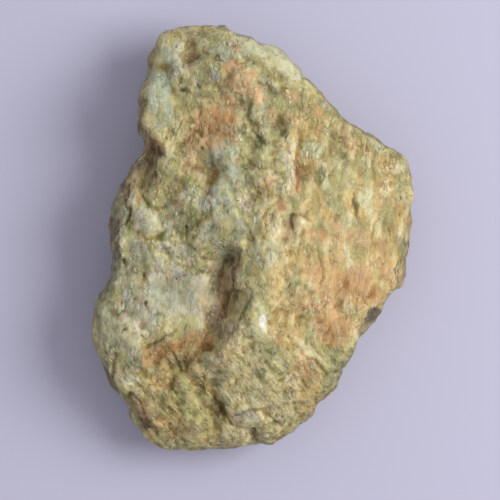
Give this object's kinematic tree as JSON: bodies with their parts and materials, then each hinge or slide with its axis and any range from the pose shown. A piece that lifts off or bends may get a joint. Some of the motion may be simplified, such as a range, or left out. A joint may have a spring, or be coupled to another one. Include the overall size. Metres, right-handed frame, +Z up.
{
  "type": "raw green opal stone",
  "caption": "Flat hand-sized piece of raw green opal with a waisted outline, a deep hollow, rusty ledges and rough broken sides, lying on its flattest face.",
  "frame": {"origin": "on the surface that the stone rests on, under the middle of its bounding box", "axes": "+Z up out of the broad patterned face, +Y along the length towards the narrow end, +X towards the thin right side"},
  "size_m": [0.0646, 0.086, 0.0223],
  "materials": {
    "opal": "dull to waxy broken stone, mottled pale green, olive, cream and rusty orange"
  },
  "bodies": {
    "root": {"green_opal_stone": "opal"}
  },
  "joints": []
}
